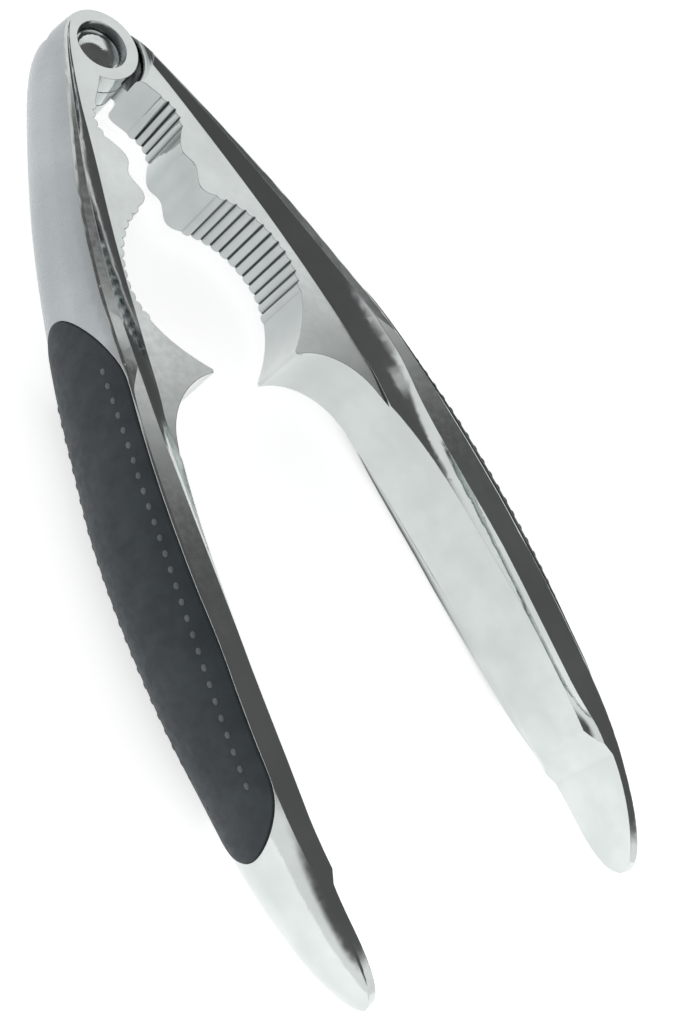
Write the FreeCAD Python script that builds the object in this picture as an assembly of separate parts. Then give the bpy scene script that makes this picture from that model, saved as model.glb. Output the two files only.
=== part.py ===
import FreeCAD, Part
import math
import os

# A hand nutcracker: two cast levers hinged at one end by a rivet, each with a soft grip inlaid in its back.
# Millimetres. It lies on its side: the hinge axis is +Z, the levers reach towards -Y and the jaws face x = 0.
# The origin is the middle of the footprint, on the surface that the nutcracker lies on.
#
# Each lever is drawn closed, on the +X side, with the hinge axis at (0, 0): a place on it is given as
# "along" (down the lever from the hinge), "out" (away from the nut) and z (from the lever's mid-plane).

os.makedirs("parts", exist_ok=True)
Vector = FreeCAD.Vector
Z_AXIS = Vector(0, 0, 1)

# Overall sizes
LEVER_LENGTH = 165.5      # hinge axis to the tip of the paddle
FLANGE_HALF = 10.15       # half width of the flange before the side lands are cut flat
LAND_HALF = FLANGE_HALF - 0.25    # half width over those lands, which the nutcracker rests on
LEAN = 10.75              # degrees from the middle plane to each lever, as it lies

# Hinge
EYE_RADIUS = 7.0
SEAT_RADIUS = EYE_RADIUS + 1.3    # clearance cut round the other lever's eye
TONGUE_HALF = 1.9         # half thickness of the right lever's tongue
FORK_GAP = 0.2            # side clearance between the tongue and each ear of the fork
SHOULDER_RADIUS = 1.5     # rounded edge of that cut, where it opens on the lever's side
RIVET_RADIUS = 2.5
RUNNING_CLEARANCE = 0.05  # radial, rivet in the tongue
SNUG_CLEARANCE = 0.02     # radial, rivet in the ears
HEAD_RADIUS = 3.9
HEAD_HEIGHT = 1.5
RECESS_DEPTH = 1.8
RECESS_FLOOR_RADIUS = HEAD_RADIUS + 0.3
RECESS_RIM_RADIUS = HEAD_RADIUS + 0.85

# Jaw
WEB_HALF = 6.0            # half thickness of the flat jaw web
HORN_ALONG = 61.9         # tip of the horn that closes the nut cavity
HORN_REACH = 2.4          # how far the horn's tip passes the lever's own line
RIB_HEIGHT = 0.55
SMALL_CAVITY_RIBS = 4
LARGE_CAVITY_RIBS = 12

# Handle
EDGE_ROUND = 0.3          # reach of the rounding along the flange's outer corners
PADDLE_LENGTH = 24.0      # bare end of the lever, past the inner face
HANDLE_START = 64.0

# Grip
GRIP_START = 50.8
GRIP_TIP_GAP = 24.8       # from the grip's lower end to the tip
GRIP_TOP_LENGTH = 17.0    # length of the rounded upper end
GRIP_END_LENGTH = 10.0    # length of the tapering lower end
RIM = 0.25                # metal left between the grip and the flange's side
POCKET_FLOOR = 0.8        # pocket floor, inwards from the flange's outer corner
GLUE_GAP = 0.1
GRIP_PROUD = 0.25

FAR = 60.0                # reach of cutting shapes past the lever
PADDLE_START = LEVER_LENGTH - PADDLE_LENGTH


def handle(fraction):
    """Distance along the lever for a fraction of the handle."""
    return HANDLE_START + fraction * (PADDLE_START - HANDLE_START)


def tip(back):
    """Distance along the lever for a distance back from the tip."""
    return LEVER_LENGTH - back


def at(along, out, z=0.0):
    return Vector(out, -along, z)


def spline(points):
    curve = Part.BSplineCurve()
    curve.interpolate([at(along, out) for along, out in points])
    return curve


def smooth(points, x):
    """Value at x of a smooth curve through (x, value) points."""
    if x <= points[0][0]:
        return points[0][1]
    if x >= points[-1][0]:
        return points[-1][1]
    slopes = []
    for i in range(len(points)):
        low = points[max(i - 1, 0)]
        high = points[min(i + 1, len(points) - 1)]
        slopes.append((high[1] - low[1]) / (high[0] - low[0]))
    i = max(k for k in range(len(points) - 1) if points[k][0] <= x)
    (x0, y0), (x1, y1) = points[i], points[i + 1]
    span = x1 - x0
    t = (x - x0) / span
    rise = (1 + 2 * t) * (1 - t) ** 2 * y0 + t * t * (3 - 2 * t) * y1
    return rise + span * (t * (1 - t) ** 2 * slopes[i] - t * t * (1 - t) * slopes[i + 1])


# The back of the lever: a flange whose outer corner follows this side-view curve, round the eye and down.
CORNER = spline([
    (-EYE_RADIUS - 0.05, 0.0), (-0.72 * EYE_RADIUS, 0.72 * EYE_RADIUS), (0.0, EYE_RADIUS + 0.6),
    (10.0, 10.1), (30.0, 14.2), (50.0, 16.5),
    (handle(0.11), 16.8), (handle(0.4), 15.2), (handle(0.67), 13.5), (handle(0.85), 11.7),
    (tip(25.0), 9.6), (tip(15.0), 6.4), (tip(7.0), 3.5), (tip(0.0), 0.8),
])

# Flange half width as a fraction of the way from the web to the full flange.
WIDENING = [
    (-EYE_RADIUS, -0.05), (0.0, 0.1), (10.0, 0.24), (30.0, 0.39), (50.0, 0.65), (handle(0.0), 0.95),
    (handle(0.15), 1.0), (handle(0.46), 1.0), (handle(0.65), 0.88), (handle(0.85), 0.68),
    (tip(22.0), 0.5), (tip(14.0), 0.36), (tip(0.0), 0.3),
]
NOSE_LENGTH = 20.0        # rounded end of the paddle

# How far the back bulges past the flange's outer corners.
CROWN = [
    (-EYE_RADIUS, 0.2), (0.0, 2.0), (10.0, 3.1), (30.0, 3.8), (50.0, 4.3), (handle(0.1), 5.2),
    (handle(0.28), 6.7), (handle(0.46), 6.8), (handle(0.7), 5.4), (handle(0.9), 3.5),
    (tip(15.0), 3.2), (tip(7.0), 3.0), (tip(0.0), 2.0),
]

# Thickness of the flange's side band, inwards from the corner.
BAND = [
    (0.0, 0.5), (10.0, 0.7), (20.0, 1.1), (40.0, 2.0), (handle(0.0), 2.2), (handle(0.2), 2.6),
    (handle(0.4), 3.0), (handle(0.6), 3.5), (handle(0.85), 3.9),
    (tip(22.0), 3.2), (tip(15.0), 2.9), (tip(0.0), 2.0),
]
# How much narrower the flange is at the corner than at the band's inner edge.
SHOULDER = [
    (-EYE_RADIUS, 0.05), (0.0, 0.15), (20.0, 0.3), (50.0, 0.3), (handle(0.0), 0.25), (handle(0.15), 0.0),
]

# Depth and half width of the flank's inner end, inwards from the corner.
FLANK_DEPTH = [
    (-EYE_RADIUS, 1.4), (0.0, 1.6), (10.0, 2.2), (20.0, 3.4), (30.0, 4.5), (50.0, 5.8),
    (handle(0.0), 6.2), (handle(0.09), 6.4), (handle(0.19), 7.5), (handle(0.4), 6.9), (handle(0.7), 6.8),
    (handle(0.85), 6.6), (handle(1.0), 6.2), (tip(15.0), 4.6), (tip(0.0), 3.0),
]
FLANK_HALF = [
    (0.0, -0.08), (handle(0.0), -0.08), (handle(0.2), 0.45), (handle(0.65), 0.35), (handle(0.85), -0.3),
    (tip(22.0), -0.6), (tip(15.0), -1.5), (tip(10.0), -2.0),
]
FLANK_HOLLOW = [(0.0, 0.1), (handle(0.0), 0.2), (handle(0.3), 0.35), (handle(0.9), 0.4), (tip(20.0), 0.2)]

# The two castings differ a little: the left one's flank runs further down onto the web beside the jaw, and
# the right one's side band is deeper along the handle.
LEFT_FLANK_EXTRA = [(0.0, 0.2), (12.0, 0.7), (25.0, 1.5), (handle(0.0), 1.6), (handle(0.15), 0.0)]
RIGHT_BAND_EXTRA = [
    (handle(0.1), 0.0), (handle(0.25), 1.4), (handle(0.5), 1.5), (handle(0.7), 1.6), (handle(0.85), 1.4),
    (handle(0.94), 1.3), (tip(22.0), 0.2), (tip(19.0), 0.0),
]
NO_EXTRA = [(0.0, 0.0), (LEVER_LENGTH, 0.0)]


def nose(along):
    """Share of the width that is left in the rounded end of the paddle."""
    past = max(0.0, along - tip(NOSE_LENGTH)) / NOSE_LENGTH
    return math.sqrt(max(1.0 - past * past, 0.0025))


def flange_half(along):
    return (WEB_HALF + smooth(WIDENING, along) * (FLANGE_HALF - WEB_HALF)) * nose(along)


def flange_section(parameter, proud, flank_extra, band_extra):
    """Closed outline of the flange, square to the corner curve."""
    corner = CORNER.value(parameter)
    tangent = CORNER.tangent(parameter)[0]
    outward = Z_AXIS.cross(tangent)
    along = -corner.y
    scale = nose(along)
    half = flange_half(along)
    corner_half = half - smooth(SHOULDER, along) * scale
    inner_half = (WEB_HALF + smooth(FLANK_HALF, along)) * scale
    depth = smooth(FLANK_DEPTH, along) + smooth(flank_extra, along)
    band = smooth(BAND, along) + smooth(band_extra, along)
    crown = smooth(CROWN, along) * scale
    hollow = smooth(FLANK_HOLLOW, along) * scale
    round_off = EDGE_ROUND * scale
    start = corner + outward * proud

    def place(inward, z):
        return start - outward * inward + Z_AXIS * z

    back_radius = (corner_half ** 2 + crown ** 2) / (2 * crown)
    back_angle = math.asin(corner_half / back_radius) - round_off / back_radius
    back_inward = back_radius * (1 - math.cos(back_angle)) - crown
    back_half = back_radius * math.sin(back_angle)
    band_half = corner_half + (half - corner_half) * round_off / band
    bend_inward = 0.25 * (back_inward + round_off)
    bend_half = 0.5 * corner_half + 0.25 * (back_half + band_half)
    middle_depth = 0.5 * (band + depth) - hollow
    middle_half = 0.5 * (half + inner_half) - hollow

    back = Part.Arc(place(back_inward, -back_half), place(-crown, 0), place(back_inward, back_half))
    edges = [back.toShape()]
    sides = []
    for side in (1, -1):
        bend = Part.Arc(place(back_inward, side * back_half), place(bend_inward, side * bend_half),
                        place(round_off, side * band_half))
        land = Part.LineSegment(place(round_off, side * band_half), place(band, side * half))
        flank = Part.Arc(place(band, side * half), place(middle_depth, side * middle_half),
                         place(depth, side * inner_half))
        sides.append([bend.toShape(), land.toShape(), flank.toShape()])
    edges += sides[0]
    edges.append(Part.LineSegment(place(depth, inner_half), place(depth, -inner_half)).toShape())
    edges += reversed(sides[1])
    return Part.Wire(edges)


def flange(proud=0.0, flank_extra=NO_EXTRA, band_extra=NO_EXTRA, stations=36):
    """The lever's crowned back, with its side bands and hollowed flanks."""
    sections = []
    first, last = CORNER.FirstParameter, CORNER.LastParameter
    for i in range(stations + 1):
        share = 0.5 - 0.5 * math.cos(math.pi * i / stations)
        parameter = first + (last - first) * (0.35 * share + 0.65 * i / stations)
        sections.append(flange_section(parameter, proud, flank_extra, band_extra))
    return Part.makeLoft(sections, True, False)


def ribbed(points, count):
    """Rounded cross ribs along a cavity: arcs that stand on the cavity's curve."""
    base = spline(points)
    length = base.length()
    marks = [base.value(base.parameterAtDistance(length * i / count)) for i in range(count + 1)]
    edges = []
    for i in range(count):
        middle = base.parameterAtDistance(length * (i + 0.5) / count)
        outward = Z_AXIS.cross(base.tangent(middle)[0])
        edges.append(Part.Arc(marks[i], base.value(middle) - outward * RIB_HEIGHT, marks[i + 1]).toShape())
    return edges


SEAT_ANGLE = math.radians(20.4)   # where the jaw starts on the edge of the other lever's seat
LAND_START = (SEAT_RADIUS * math.cos(SEAT_ANGLE), SEAT_RADIUS * math.sin(SEAT_ANGLE))
SMALL_CAVITY = [(12.0, 5.0), (14.0, 6.1), (16.3, 6.2), (18.4, 5.3)]
BUMPS = [SMALL_CAVITY[-1], (20.6, 2.9), (23.0, 1.8), (25.2, 2.5), (28.4, 1.0), (32.0, 2.7)]
LARGE_CAVITY = [BUMPS[-1], (37.3, 7.3), (44.4, 9.2), (49.5, 8.7), (53.0, 6.9)]
HORN_TOP = [LARGE_CAVITY[-1], (56.9, 3.9), (59.8, 0.6), (HORN_ALONG, -HORN_REACH)]
HORN_UNDER = [(HORN_ALONG + 0.6, -HORN_REACH), (HANDLE_START, 1.6), (handle(0.05), 5.9), (handle(0.14), 8.6)]
INNER_FACE = [
    HORN_UNDER[-1], (handle(0.28), 9.5), (handle(0.5), 8.8), (handle(0.75), 7.1), (handle(1.0), 4.2),
]
PADDLE_FACE = [(tip(18.0), 5.4), (tip(13.0), 4.0), (tip(7.0), 1.7), (tip(-2.0), -1.2)]


def inner_cutter():
    """Everything on the nut's side of the jaw, horn, inner face, ramp and paddle face."""
    edges = [Part.LineSegment(at(*LAND_START), at(*SMALL_CAVITY[0])).toShape()]
    edges += ribbed(SMALL_CAVITY, SMALL_CAVITY_RIBS)
    edges.append(spline(BUMPS).toShape())
    edges += ribbed(LARGE_CAVITY, LARGE_CAVITY_RIBS)
    edges.append(spline(HORN_TOP).toShape())
    edges.append(Part.LineSegment(at(*HORN_TOP[-1]), at(*HORN_UNDER[0])).toShape())
    edges.append(spline(HORN_UNDER).toShape())
    edges.append(spline(INNER_FACE).toShape())
    edges.append(Part.LineSegment(at(*INNER_FACE[-1]), at(*PADDLE_FACE[0])).toShape())
    edges.append(spline(PADDLE_FACE).toShape())
    end_along, end_out = PADDLE_FACE[-1]
    corners = [at(end_along, end_out), at(end_along, -FAR), at(LAND_START[0], -FAR), at(*LAND_START)]
    edges += Part.makePolygon(corners).Edges
    face = Part.Face(Part.Wire(edges))
    face.translate(Vector(0, 0, -FAR / 2))
    return face.extrude(Vector(0, 0, FAR))


def corner_parameter(along):
    """Parameter of the corner curve at a distance along the lever."""
    low, high = CORNER.FirstParameter, CORNER.LastParameter
    for _ in range(40):
        middle = 0.5 * (low + high)
        if -CORNER.value(middle).y < along:
            low = middle
        else:
            high = middle
    return low


def corner_out(along):
    return CORNER.value(corner_parameter(along)).x


def slab(face_points, half):
    face = Part.Face(Part.makePolygon(face_points + face_points[:1]))
    face.translate(Vector(0, 0, -half))
    return face.extrude(Vector(0, 0, 2 * half))


def web():
    """The flat middle of the lever before its inner side is cut, from the eye to the handle."""
    inset = 1.0
    end = handle(0.6)
    count = 12
    back = []
    for i in range(count):
        parameter = corner_parameter(end - i * (end - 1.0) / (count - 1))
        tangent = CORNER.tangent(parameter)[0]
        back.append(CORNER.value(parameter) - Z_AXIS.cross(tangent) * inset)
    reach = HORN_REACH + 1.5
    front = [at(0, 0), at(*LAND_START), at(*SMALL_CAVITY[0]), at(BUMPS[2][0], -reach), at(end, -reach)]
    return slab(front + back, WEB_HALF)


def disc(radius, low, high):
    return Part.makeCylinder(radius, high - low, Vector(0, 0, low))


def lever_blank(flank_extra, band_extra):
    """A lever with its pocket, before its half of the hinge is cut."""
    back = flange(0.0, flank_extra, band_extra)
    blank = back.fuse(web()).fuse(disc(EYE_RADIUS, -WEB_HALF, WEB_HALF)).cut(inner_cutter())
    lands = Part.makeBox(4 * FAR, 6 * FAR, 2 * LAND_HALF, Vector(-2 * FAR, -5 * FAR, -LAND_HALF))
    return blank.common(lands).cut(pocket(0.0))


def grip_half(along, gap):
    """Half width of the grip's outline, following the flange between its rounded ends."""
    upper = (along - GRIP_START - gap) / GRIP_TOP_LENGTH
    lower = (tip(GRIP_TIP_GAP) - gap - along) / GRIP_END_LENGTH
    share = 1.0
    for reach in (upper, lower):
        if reach < 1.0:
            share *= math.sqrt(max(1.0 - (1.0 - reach) ** 2, 0.0))
    return min(flange_half(along), LAND_HALF) * share - (RIM + gap) * min(share * 2, 1.0)


def pocket(gap):
    """The grip's pocket in the lever's back, or with a gap the room that the grip fills."""
    start = GRIP_START + gap
    end = tip(GRIP_TIP_GAP) - gap
    count = 28
    side = []
    for i in range(1, count):
        along = start + (end - start) * (0.5 - 0.5 * math.cos(math.pi * i / count))
        side.append((along, grip_half(along, gap)))
    outline = [(start, 0.0)] + side + [(end, 0.0)]
    outline += [(along, -half) for along, half in reversed(side)]
    plan_curve = Part.BSplineCurve()
    plan_curve.interpolate([Vector(0, -along, half) for along, half in outline], PeriodicFlag=True)
    plan = Part.Face(Part.Wire(plan_curve.toShape())).extrude(Vector(FAR, 0, 0))
    floor_points = []
    for i in range(8):
        along = start - 4 + (end - start + 8) * i / 7
        floor_points.append((along, corner_out(along) - POCKET_FLOOR + gap))
    low, high = floor_points[0][0], floor_points[-1][0]
    edges = [spline(floor_points).toShape()]
    rest = [at(*floor_points[-1]), at(high, FAR), at(low, FAR), at(*floor_points[0])]
    edges += Part.makePolygon(rest).Edges
    side_face = Part.Face(Part.Wire(edges))
    side_face.translate(Vector(0, 0, -FAR / 2))
    return plan.common(side_face.extrude(Vector(0, 0, FAR)))


def rivet_recess(side):
    """Counterbore for a rivet head, opening on the web face on one side."""
    floor = WEB_HALF - RECESS_DEPTH
    cone = Part.makeCone(RECESS_FLOOR_RADIUS, RECESS_RIM_RADIUS, RECESS_DEPTH, Vector(0, 0, floor))
    mouth = disc(RECESS_RIM_RADIUS, WEB_HALF, WEB_HALF + 1.0)
    tool = cone.fuse(mouth)
    return tool if side > 0 else tool.mirror(Vector(0, 0, 0), Z_AXIS)


def fork_lever(blank):
    """The lever whose eye is a fork of two ears, recessed for the rivet heads."""
    slot_half = TONGUE_HALF + FORK_GAP
    lever = blank.cut(disc(SEAT_RADIUS + FORK_GAP, -slot_half, slot_half))
    lever = lever.cut(disc(RIVET_RADIUS + SNUG_CLEARANCE, -FAR, FAR))
    return lever.cut(rivet_recess(1)).cut(rivet_recess(-1))


def ear_seat():
    """Room for one ear of the fork, with a rounded shoulder where it opens on the lever's side."""
    wide = SEAT_RADIUS + SHOULDER_RADIUS
    bend = SHOULDER_RADIUS * (1 - math.sqrt(0.5))
    low, high = WEB_HALF - SHOULDER_RADIUS, WEB_HALF + LAND_HALF
    edges = Part.makePolygon([Vector(0, 0, TONGUE_HALF), Vector(SEAT_RADIUS, 0, TONGUE_HALF),
                              Vector(SEAT_RADIUS, 0, low)]).Edges
    shoulder = Part.Arc(Vector(SEAT_RADIUS, 0, low), Vector(SEAT_RADIUS + bend, 0, WEB_HALF - bend),
                        Vector(wide, 0, WEB_HALF))
    edges.append(shoulder.toShape())
    edges += Part.makePolygon([Vector(wide, 0, WEB_HALF), Vector(wide, 0, high), Vector(0, 0, high),
                               Vector(0, 0, TONGUE_HALF)]).Edges
    return Part.Face(Part.Wire(edges)).revolve(Vector(0, 0, 0), Z_AXIS, 360)


def tongue_lever(blank):
    """The lever whose eye is a tongue between the fork's ears."""
    seat = ear_seat()
    lever = blank.cut(seat).cut(seat.mirror(Vector(0, 0, 0), Z_AXIS))
    return lever.cut(disc(RIVET_RADIUS + RUNNING_CLEARANCE, -FAR, FAR))


def hinge_rivet():
    """One turned rivet: a shank with a domed head in each ear's recess."""
    seat = WEB_HALF - RECESS_DEPTH
    brim = 0.35
    points = [Vector(0, 0, 0), Vector(RIVET_RADIUS, 0, 0), Vector(RIVET_RADIUS, 0, seat),
              Vector(HEAD_RADIUS, 0, seat), Vector(HEAD_RADIUS, 0, seat + brim)]
    edges = Part.makePolygon(points).Edges
    top = Vector(0, 0, seat + HEAD_HEIGHT)
    rise = HEAD_HEIGHT - brim
    sphere = (HEAD_RADIUS ** 2 + rise ** 2) / (2 * rise)
    half_angle = 0.5 * math.asin(HEAD_RADIUS / sphere)
    mid = Vector(sphere * math.sin(half_angle), 0, top.z - sphere * (1 - math.cos(half_angle)))
    edges.append(Part.Arc(points[-1], mid, top).toShape())
    edges.append(Part.LineSegment(top, points[0]).toShape())
    upper = Part.Face(Part.Wire(edges)).revolve(Vector(0, 0, 0), Z_AXIS, 360)
    lower = upper.mirror(Vector(0, 0, 0), Z_AXIS)
    return upper.fuse(lower).removeSplitter()


def on_left(shape):
    mirrored = shape.mirror(Vector(0, 0, 0), Vector(1, 0, 0))
    mirrored.rotate(Vector(0, 0, 0), Z_AXIS, -LEAN)
    return mirrored


def on_right(shape):
    turned = shape.copy()
    turned.rotate(Vector(0, 0, 0), Z_AXIS, LEAN)
    return turned


def build():
    grip = flange(GRIP_PROUD).common(pocket(GLUE_GAP))
    pieces = {
        "left_lever": on_left(fork_lever(lever_blank(LEFT_FLANK_EXTRA, NO_EXTRA))),
        "right_lever": on_right(tongue_lever(lever_blank(NO_EXTRA, RIGHT_BAND_EXTRA))),
        "left_grip": on_left(grip),
        "right_grip": on_right(grip),
        "hinge_rivet": hinge_rivet(),
    }
    whole = Part.makeCompound(list(pieces.values()))
    box = whole.optimalBoundingBox(False, False)
    home = Vector(-box.Center.x, -box.Center.y, -box.ZMin)
    for name, shape in pieces.items():
        shape.translate(home)
        shape.exportStep("parts/%s.step" % name)
        print(name, shape.ShapeType, len(shape.Solids), shape.isValid(), round(shape.Volume, 1))


build()
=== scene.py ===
"""Looks of the nutcracker round its CAD frame: metals, rubber grips, a floor, soft light and a camera."""
import math

import bmesh
import bpy
from mathutils import Matrix, Vector
from mathutils.bvhtree import BVHTree


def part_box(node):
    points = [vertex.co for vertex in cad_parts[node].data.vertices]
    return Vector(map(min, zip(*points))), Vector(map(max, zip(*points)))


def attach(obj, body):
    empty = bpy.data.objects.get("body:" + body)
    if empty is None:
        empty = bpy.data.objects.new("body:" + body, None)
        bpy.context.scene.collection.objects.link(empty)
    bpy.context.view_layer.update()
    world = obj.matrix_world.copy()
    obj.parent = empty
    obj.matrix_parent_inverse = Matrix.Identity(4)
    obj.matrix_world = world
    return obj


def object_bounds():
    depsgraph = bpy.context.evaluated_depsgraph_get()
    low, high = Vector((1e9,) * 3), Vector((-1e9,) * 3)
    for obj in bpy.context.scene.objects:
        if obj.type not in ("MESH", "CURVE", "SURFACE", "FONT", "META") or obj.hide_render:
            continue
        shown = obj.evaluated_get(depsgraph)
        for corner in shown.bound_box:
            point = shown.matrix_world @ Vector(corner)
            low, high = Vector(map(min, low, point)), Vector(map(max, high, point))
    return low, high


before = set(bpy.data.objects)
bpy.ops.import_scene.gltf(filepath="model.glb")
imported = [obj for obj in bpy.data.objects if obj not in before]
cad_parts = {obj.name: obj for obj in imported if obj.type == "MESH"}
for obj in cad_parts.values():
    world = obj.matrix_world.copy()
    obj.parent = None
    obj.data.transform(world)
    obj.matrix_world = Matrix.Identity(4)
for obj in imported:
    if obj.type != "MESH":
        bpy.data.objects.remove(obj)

MM = 0.001
CAD_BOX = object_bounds()
LEVER_SIDE = {"left": -1, "right": 1}    # the way each lever's back faces, along x
LEAN = math.radians(10.75)               # each lever's turn from the middle plane, as it lies


def middle(node):
    """The middle of a node's box."""
    low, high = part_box(node)
    return (Vector(low) + Vector(high)) / 2


HINGE = middle("hinge_rivet")


def lever_axes(side):
    """Unit vectors out of the lever's back and down its length, in the frame."""
    turn = Matrix.Rotation(side * LEAN, 3, "Z")
    return turn @ Vector((side, 0, 0)), turn @ Vector((0, -1, 0))


# ---------------------------------------------------------------- shader helpers

WHITE = (1, 1, 1, 1)
NOISE_SPREAD = (0.3, 0.7)                # a noise texture's values mostly lie between these
MIX_FIRST = 6                            # a colour mix node's sockets, which share their names
MIX_SECOND = 7                           # with its other kinds, so they go by number
MIX_RESULT = 2


class Tree:
    """A node tree with short ways to add and join nodes."""

    def __init__(self, owner):
        owner.use_nodes = True
        self.tree = owner.node_tree
        self.tree.nodes.clear()

    def add(self, kind, **settings):
        node = self.tree.nodes.new("ShaderNode" + kind)
        for name, value in settings.items():
            setattr(node, name, value)
        return node

    def set(self, socket, value):
        if isinstance(value, bpy.types.NodeSocket):
            self.tree.links.new(value, socket)
        else:
            socket.default_value = value

    def math(self, operation, first, second):
        node = self.add("Math", operation=operation)
        self.set(node.inputs[0], first)
        self.set(node.inputs[1], second)
        return node.outputs[0]

    def fade(self, value, start, end, low=0.0, high=1.0):
        """Goes smoothly from low at start to high at end."""
        node = self.add("MapRange", interpolation_type="SMOOTHSTEP")
        for index, item in enumerate((value, start, end, low, high)):
            self.set(node.inputs[index], item)
        return node.outputs[0]

    def noise(self, coordinates, scale, detail=3.0):
        node = self.add("TexNoise")
        self.set(node.inputs["Vector"], coordinates)
        node.inputs["Scale"].default_value = scale
        node.inputs["Detail"].default_value = detail
        return node.outputs[0]

    def mix_colour(self, share, first, second):
        node = self.add("Mix", data_type="RGBA")
        self.set(node.inputs["Factor"], share)
        self.set(node.inputs[MIX_FIRST], first)
        self.set(node.inputs[MIX_SECOND], second)
        return node.outputs[MIX_RESULT]

    def stretched(self, coordinates, scale):
        node = self.add("Mapping")
        self.set(node.inputs["Vector"], coordinates)
        node.inputs["Scale"].default_value = scale
        return node.outputs[0]

    def bump(self, height, distance, strength, normal=None):
        node = self.add("Bump")
        self.set(node.inputs["Height"], height)
        node.inputs["Distance"].default_value = distance
        node.inputs["Strength"].default_value = strength
        if normal:
            self.set(node.inputs["Normal"], normal)
        return node.outputs[0]

    def soft_edge(self, radius, samples):
        """The surface's normal with its edges rounded."""
        node = self.add("Bevel", samples=samples)
        node.inputs["Radius"].default_value = radius
        return node.outputs[0]

    def facing(self, coordinates, direction, start, end):
        """1 where the surface faces a direction, 0 where it faces away."""
        along = self.add("VectorMath", operation="DOT_PRODUCT")
        self.set(along.inputs[0], coordinates.outputs["Normal"])
        along.inputs[1].default_value = direction
        return self.fade(along.outputs["Value"], start, end)

    def below_hinge(self, height, start, end):
        """0 at the first distance down from the hinge or lower, 1 at the second or higher."""
        return self.fade(height, HINGE.y - start, HINGE.y - end)


def surface(name):
    """A new material, its tree, its shader and its texture coordinates node."""
    material = bpy.data.materials.new(name)
    tree = Tree(material)
    shader = tree.add("BsdfPrincipled")
    output = tree.add("OutputMaterial")
    tree.set(output.inputs["Surface"], shader.outputs[0])
    return material, tree, shader, tree.add("TexCoord")


# ---------------------------------------------------------------- plated castings

METAL = (0.66, 0.70, 0.685, 1.0)
SATIN = (0.43, 0.46, 0.475, 1.0)
CAST_GREY = (0.56, 0.59, 0.59, 1.0)
# the dark that the plate's painted shade in its grooves goes to, and the rivet's dull random tone
TARNISH_AND_SHADE = (0.07, 0.075, 0.08, 1.0)

PLATE_ROUGHNESS = 0.09
PLATE_ROUGHNESS_SPREAD = 0.05            # between the plate's smoothest and roughest spots
PLATE_GRAIN_SCALE = 900.0
PLATE_GRAIN_DETAIL = 2.0
SATIN_ROUGHNESS = 0.16                   # what the satin adds to the plate's

GROOVE_SHADE_REACH = 1.5 * MM                  # a wall within this distance paints shade on the metal
GROOVE_SAMPLES = 8
GROOVE_SHADE_FADE = (0.42, 0.97)               # share of the surroundings left open: full painted shade, then none
BLOTCH_SCALE = 90.0
BLOTCH_FADE = (0.3, 0.75)
BLOTCH_CLEAN = 0.86                      # how clean the dullest blotch still is
EYE_PLACE = HINGE + Vector((0, 0, 6 * MM))
EYE_FADE = (5.0 * MM, 6.5 * MM)          # distance from the eye's place: painted shade held back, then left alone
EYE_UNSHADED = 0.85

JAW_FADE = (64 * MM, 54 * MM)            # distance below the hinge: plated, then cast grey
JAW_FACING = (0.1, 0.3)                  # how squarely a face looks at the other jaw to be cast grey
SATIN_FADE = (70 * MM, 45 * MM)          # distance below the hinge: plated, then satin
SATIN_FACING = (0.45, 0.7)               # how squarely a face looks out of the back to be satin

EDGE_RADIUS = 0.15 * MM
EDGE_SAMPLES = 6
WAVE_SCALE = 160.0
WAVE_DETAIL = 1.0
WAVE_DEPTH = 0.02 * MM
WAVE_STRENGTH = 0.5


def plated(name, side, satin_back):
    """Bright, slightly wavy plate, with painted shade in its grooves, duller in its jaw, and a satin back
    where asked.
    """
    material, tree, shader, coordinates = surface(name)
    place = coordinates.outputs["Object"]
    shader.inputs["Metallic"].default_value = 1.0

    # painted shade: where walls are near, in grooves and recesses, the colour goes dark, held back round
    # the eye's recess; random blotches darken it a little too
    hollow = tree.add("AmbientOcclusion", samples=GROOVE_SAMPLES)
    hollow.inputs["Distance"].default_value = GROOVE_SHADE_REACH
    open_share = tree.fade(hollow.outputs["AO"], *GROOVE_SHADE_FADE)
    blotch = tree.fade(tree.noise(place, BLOTCH_SCALE), *BLOTCH_FADE, BLOTCH_CLEAN, 1.0)
    reach = tree.add("VectorMath", operation="DISTANCE")
    tree.set(reach.inputs[0], place)
    reach.inputs[1].default_value = EYE_PLACE
    eye = tree.fade(reach.outputs["Value"], *EYE_FADE, EYE_UNSHADED, 0.0)
    bright_share = tree.math("MULTIPLY", tree.math("MAXIMUM", open_share, eye), blotch)

    split = tree.add("SeparateXYZ")
    tree.set(split.inputs[0], place)
    height = split.outputs["Y"]
    outward = lever_axes(side)[0]
    grain = tree.noise(place, PLATE_GRAIN_SCALE, PLATE_GRAIN_DETAIL)
    roughest = PLATE_ROUGHNESS + PLATE_ROUGHNESS_SPREAD
    roughness = tree.fade(grain, *NOISE_SPREAD, PLATE_ROUGHNESS, roughest)
    jaw_face = tree.facing(coordinates, -outward, *JAW_FACING)
    jaw = tree.math("MULTIPLY", tree.below_hinge(height, *JAW_FADE), jaw_face)
    colour = tree.mix_colour(jaw, METAL, CAST_GREY)
    if satin_back:
        back_face = tree.facing(coordinates, outward, *SATIN_FACING)
        satin = tree.math("MULTIPLY", tree.below_hinge(height, *SATIN_FADE), back_face)
        colour = tree.mix_colour(satin, colour, SATIN)
        roughness = tree.math("ADD", roughness, tree.math("MULTIPLY", satin, SATIN_ROUGHNESS))
    # the painted shade and the random blotches mixed over the plate's colour
    tree.set(shader.inputs["Base Color"], tree.mix_colour(bright_share, TARNISH_AND_SHADE, colour))
    tree.set(shader.inputs["Roughness"], roughness)

    waves = tree.noise(place, WAVE_SCALE, WAVE_DETAIL)
    rounded = tree.soft_edge(EDGE_RADIUS, EDGE_SAMPLES)
    tree.set(shader.inputs["Normal"], tree.bump(waves, WAVE_DEPTH, WAVE_STRENGTH, rounded))
    return material


# ---------------------------------------------------------------- rivet

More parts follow.
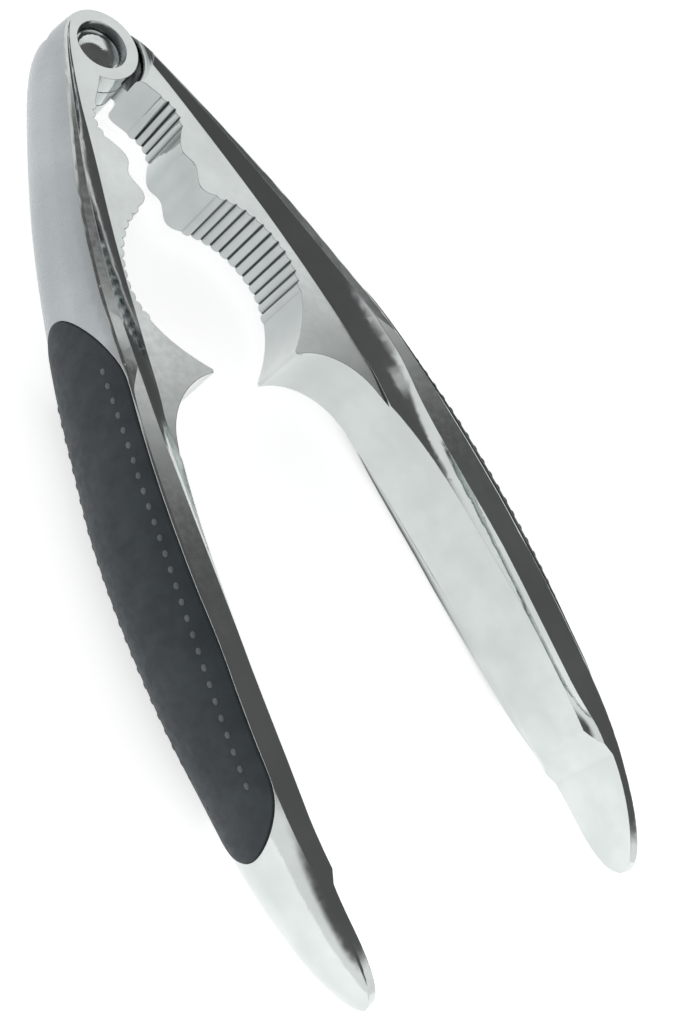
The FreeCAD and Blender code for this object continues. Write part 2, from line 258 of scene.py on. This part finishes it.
RIVET_TONE_SCALE = 500.0
RIVET_DULLEST = 0.8                      # how clean the steel's dullest spot still is
RIVET_GRAIN_SCALE = 1200.0
RIVET_ROUGHNESS = (0.06, 0.10)
RING_SCALE = 900.0
RING_WOBBLE = 0.4
RING_DEPTH = 0.01 * MM
RING_STRENGTH = 0.3


def rivet_metal():
    """Polished steel with faint turned rings."""
    material, tree, shader, coordinates = surface("rivet_steel")
    place = coordinates.outputs["Object"]
    shader.inputs["Metallic"].default_value = 1.0
    centred = tree.add("VectorMath", operation="SUBTRACT")
    tree.set(centred.inputs[0], place)
    centred.inputs[1].default_value = HINGE
    rings = tree.add("TexWave", wave_type="RINGS", rings_direction="Z")
    tree.set(rings.inputs["Vector"], centred.outputs[0])
    rings.inputs["Scale"].default_value = RING_SCALE
    rings.inputs["Distortion"].default_value = RING_WOBBLE
    bright_share = tree.fade(tree.noise(place, RIVET_TONE_SCALE), *NOISE_SPREAD, RIVET_DULLEST, 1.0)
    roughness = tree.fade(tree.noise(place, RIVET_GRAIN_SCALE), *NOISE_SPREAD, *RIVET_ROUGHNESS)
    tree.set(shader.inputs["Base Color"], tree.mix_colour(bright_share, TARNISH_AND_SHADE, METAL))
    tree.set(shader.inputs["Roughness"], roughness)
    tree.set(shader.inputs["Normal"], tree.bump(rings.outputs[1], RING_DEPTH, RING_STRENGTH))
    return material


# ---------------------------------------------------------------- rubber

RUBBER = (0.029, 0.037, 0.042, 1.0)
RUBBER_WORN = (0.040, 0.050, 0.056, 1.0)
# the dots' rubber is painted lighter than the grip's as a painted highlight, with a random mottle between
# its two tones
DOT_RUBBER_HIGHLIT = (0.10, 0.115, 0.12, 1)
DOT_RUBBER_HIGHLIT_WORN = (0.14, 0.155, 0.16, 1)
MOTTLE_SCALE = 220.0
MOTTLE_DETAIL = 4.0
RUBBER_ROUGHNESS = (0.52, 0.66)
RUBBER_ROUGHNESS_SCALE = 700.0
RUBBER_SPECULAR = 0.35
LINE_STRETCH = (0.15, 4.0, 0.15)         # close together down the lever, and long across it
LINE_SCALE = 350.0
LINE_DETAIL = 2.0
RUBBER_GRAIN_SCALE = 3500.0
RUBBER_GRAIN_DETAIL = 1.0
RUBBER_GRAIN_SHARE = 0.5
RUBBER_RELIEF = 0.05 * MM
RUBBER_RELIEF_STRENGTH = 0.5
RUBBER_EDGE_RADIUS = 0.35 * MM
RUBBER_EDGE_SAMPLES = 4


def rubber(name, dark, light):
    """Matt rubber with fine crosswise lines and a slight mottle."""
    material, tree, shader, coordinates = surface(name)
    place = coordinates.outputs["Object"]
    mottle = tree.fade(tree.noise(place, MOTTLE_SCALE, MOTTLE_DETAIL), *NOISE_SPREAD)
    roughness = tree.fade(tree.noise(place, RUBBER_ROUGHNESS_SCALE), *NOISE_SPREAD, *RUBBER_ROUGHNESS)
    tree.set(shader.inputs["Base Color"], tree.mix_colour(mottle, dark, light))
    tree.set(shader.inputs["Roughness"], roughness)
    shader.inputs["Specular IOR Level"].default_value = RUBBER_SPECULAR
    lines = tree.noise(tree.stretched(place, LINE_STRETCH), LINE_SCALE, LINE_DETAIL)
    grain = tree.noise(place, RUBBER_GRAIN_SCALE, RUBBER_GRAIN_DETAIL)
    height = tree.math("ADD", lines, tree.math("MULTIPLY", grain, RUBBER_GRAIN_SHARE))
    rounded = tree.soft_edge(RUBBER_EDGE_RADIUS, RUBBER_EDGE_SAMPLES)
    tree.set(shader.inputs["Normal"], tree.bump(height, RUBBER_RELIEF, RUBBER_RELIEF_STRENGTH, rounded))
    return material


def dress(node, material):
    """Gives a CAD node its material."""
    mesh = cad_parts[node].data
    mesh.materials.clear()
    mesh.materials.append(material)


# ---------------------------------------------------------------- raised dots on the grips

DOT_LENGTH = 1.15 * MM
DOT_WIDTH = 0.85 * MM
DOT_RISE = 0.16 * MM
DOT_SUBDIVISIONS = 3
DOT_PITCH = 2.6                          # mm, as are the next four
DOT_START = 63.0                         # down the lever, from the hinge to the first dot
ROW_PLACES = (8.4, -7.0)                 # from the lever's mid-plane to each row, where the grip is widest
WIDEST = 90.0                            # down the lever, from the hinge to that place
CAST_START = 60.0                        # out from the hinge, clear of the grip's back
ROW_CURVE = 0.00019                      # how fast a row closes in towards its ends, per mm squared
DOT_COUNT = 27


def add_dots(name):
    """Two rows of small raised ovals that follow the grip's edges."""
    outward, down = lever_axes(LEVER_SIDE[name])
    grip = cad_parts[name + "_grip"].data
    skin = BVHTree.FromPolygons([v.co for v in grip.vertices], [p.vertices for p in grip.polygons])
    dots = bmesh.new()
    for row_place in ROW_PLACES:
        for index in range(DOT_COUNT):
            along = DOT_START + index * DOT_PITCH
            across = row_place * (1 - ROW_CURVE * (along - WIDEST) ** 2)
            start = HINGE + down * along * MM + outward * CAST_START * MM + Vector((0, 0, across * MM))
            point, normal, _, _ = skin.ray_cast(start, -outward)
            if point is None:
                continue
            length_axis = (down - normal * down.dot(normal)).normalized()
            turn = Matrix((length_axis, normal.cross(length_axis), normal)).transposed().to_4x4()
            size = Matrix.Diagonal((DOT_LENGTH / 2, DOT_WIDTH / 2, DOT_RISE, 1))
            pose = Matrix.Translation(point) @ turn @ size
            bmesh.ops.create_icosphere(dots, subdivisions=DOT_SUBDIVISIONS, radius=1, matrix=pose)
    mesh = bpy.data.meshes.new(name + "_grip_dots")
    dots.to_mesh(mesh)
    dots.free()
    mesh.shade_smooth()
    # the dots get the grip's rubber painted lighter: a painted highlight
    mesh.materials.append(rubber(name + "_dot_rubber_painted_highlight", DOT_RUBBER_HIGHLIT, DOT_RUBBER_HIGHLIT_WORN))
    piece = bpy.data.objects.new(name + "_grip_dots", mesh)
    bpy.context.collection.objects.link(piece)
    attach(piece, name + "_lever")


# ---------------------------------------------------------------- floor

FLOOR_HALF = 8.0
FLOOR_DROP = 0.02 * MM                   # how far the floor lies below the object
FLOOR_GLOW = 0.62
FLOOR_EXTRA_GLOW = 0.22                  # added beside the handles' ends
FLOOR_GLOW_FADE = (-85 * MM, -30 * MM)   # y of the full extra, and of none
FLOOR_DARK = (0.80, 0.80, 0.80, 1)
FLOOR_LIGHT = (0.86, 0.86, 0.86, 1)
FLOOR_GRAIN_SCALE = 40.0
FLOOR_GRAIN = (0.985, 1.0)
FLOOR_ROUGHNESS = 0.9
FLOOR_SPECULAR = 0.1


def paper():
    """Plain white that glows, more beside the handles' ends than beside the jaws."""
    material, tree, shader, coordinates = surface("white_floor")
    place = coordinates.outputs["Object"]
    shader.inputs["Roughness"].default_value = FLOOR_ROUGHNESS
    shader.inputs["Specular IOR Level"].default_value = FLOOR_SPECULAR
    grain = tree.fade(tree.noise(place, FLOOR_GRAIN_SCALE), *NOISE_SPREAD, *FLOOR_GRAIN)
    tree.set(shader.inputs["Base Color"], tree.mix_colour(grain, FLOOR_DARK, FLOOR_LIGHT))
    shader.inputs["Emission Color"].default_value = WHITE
    split = tree.add("SeparateXYZ")
    tree.set(split.inputs[0], place)
    most = FLOOR_GLOW + FLOOR_EXTRA_GLOW
    glow = tree.fade(split.outputs["Y"], *FLOOR_GLOW_FADE, most, FLOOR_GLOW)
    tree.set(shader.inputs["Emission Strength"], glow)
    return material


def lay_floor():
    half = FLOOR_HALF
    corners = [(-half, -half, 0), (half, -half, 0), (half, half, 0), (-half, half, 0)]
    mesh = bpy.data.meshes.new("floor")
    mesh.from_pydata(corners, [], [(0, 1, 2, 3)])
    mesh.materials.append(paper())
    floor = bpy.data.objects.new("floor", mesh)
    floor.location = (0, 0, CAD_BOX[0][2] - FLOOR_DROP)
    bpy.context.collection.objects.link(floor)


# ---------------------------------------------------------------- light and camera

CAMERA_PLACE = Vector((-227.1, -150.0, 252.1))   # mm from the hinge
CAMERA_RIGHT = (0.7094, -0.4297, 0.5586)         # the camera's own axes in the frame
CAMERA_UP = (0.2114, 0.8859, 0.4130)
CAMERA_BACK = (-0.6723, -0.1749, 0.7193)
CAMERA_LENS = 73.83                      # mm
CAMERA_SENSOR = 36.0                     # mm
CAMERA_NEAR = 10 * MM

SKY_DARK = 0.12                          # brightness all round
SKY_LIT = 0.9                            # what the walls and the softbox add to it
# the sky's edges, by the x, y or z of a direction
WALL_TOP = (0.48, 0.62)                  # z: lit, then dark
SOFTBOX_SOUTH = (0.19, 0.30)             # y: dark, then lit
SOFTBOX_TOP = (0.735, 0.785)             # z: lit, then dark
SOFTBOX_WEST = (-0.3, 0.2)               # x: its dimmer end, then its full brightness
SOFTBOX_WEST_SHARE = 0.55
FLAG_WEST = (0.72, 0.84)                 # x: clear, then covered
FLAG_BOTTOM = (0.03, 0.10)               # z: clear, then covered
OPENING = (0.85, 0.94)                   # cosine of the angle to the camera's direction: lit, then dark

LIGHT_SIZE = 1.6                         # m
LIGHT_POWER = 4.5                        # W
LIGHT_PLACE = Vector((-0.3, -0.2, 1.4))  # m


def hang_sky():
    """White walls, a softbox to the north, a dark ceiling, a flag to the east and the camera's opening."""
    world = bpy.data.worlds.new("studio")
    bpy.context.scene.world = world
    tree = Tree(world)
    split = tree.add("SeparateXYZ")
    direction = tree.add("TexCoord").outputs["Generated"]
    tree.set(split.inputs[0], direction)
    x, y, z = split.outputs
    walls = tree.fade(z, *WALL_TOP, SKY_LIT, 0.0)
    softbox = tree.fade(y, *SOFTBOX_SOUTH, 0.0, SKY_LIT)
    softbox = tree.math("MULTIPLY", softbox, tree.fade(z, *SOFTBOX_TOP, 1.0, 0.0))
    softbox = tree.math("MULTIPLY", softbox, tree.fade(x, *SOFTBOX_WEST, SOFTBOX_WEST_SHARE, 1.0))
    flag = tree.math("MULTIPLY", tree.fade(x, *FLAG_WEST), tree.fade(z, *FLAG_BOTTOM))
    towards_camera = tree.add("VectorMath", operation="DOT_PRODUCT")
    tree.set(towards_camera.inputs[0], direction)
    towards_camera.inputs[1].default_value = CAMERA_PLACE.normalized()
    uncovered = tree.fade(towards_camera.outputs["Value"], *OPENING, 1.0, 0.0)
    uncovered = tree.math("MULTIPLY", uncovered, tree.math("SUBTRACT", 1.0, flag))
    lit = tree.math("MULTIPLY", tree.math("MAXIMUM", walls, softbox), uncovered)
    background = tree.add("Background")
    tree.set(background.inputs["Strength"], tree.math("ADD", lit, SKY_DARK))
    background.inputs["Color"].default_value = WHITE
    tree.set(tree.add("OutputWorld").inputs["Surface"], background.outputs[0])


def hang_light():
    """A large soft light overhead that isn't seen in the metal."""
    light = bpy.data.lights.new("overhead", "AREA")
    light.shape = "DISK"
    light.size = LIGHT_SIZE
    light.energy = LIGHT_POWER
    overhead = bpy.data.objects.new("overhead", light)
    overhead.location = LIGHT_PLACE
    overhead.rotation_euler = LIGHT_PLACE.to_track_quat("Z", "Y").to_euler()
    overhead.visible_glossy = False
    overhead.visible_camera = False
    bpy.context.collection.objects.link(overhead)


def place_camera():
    data = bpy.data.cameras.new("camera")
    data.sensor_fit = "VERTICAL"
    data.sensor_height = CAMERA_SENSOR
    data.lens = CAMERA_LENS
    data.clip_start = CAMERA_NEAR
    camera = bpy.data.objects.new("camera", data)
    camera.location = HINGE + CAMERA_PLACE * MM
    axes = Matrix((CAMERA_RIGHT, CAMERA_UP, CAMERA_BACK))
    camera.rotation_mode = "QUATERNION"
    camera.rotation_quaternion = axes.transposed().to_quaternion()
    bpy.context.collection.objects.link(camera)
    bpy.context.scene.camera = camera


# ---------------------------------------------------------------- the scene

dress("left_lever", plated("left_plate", LEVER_SIDE["left"], satin_back=True))
dress("right_lever", plated("right_plate", LEVER_SIDE["right"], satin_back=False))
dress("hinge_rivet", rivet_metal())
for lever_name in LEVER_SIDE:
    dress(lever_name + "_grip", rubber(lever_name + "_rubber", RUBBER, RUBBER_WORN))
    add_dots(lever_name)
lay_floor()
hang_sky()
hang_light()
place_camera()
bpy.context.scene.view_settings.view_transform = "Standard"
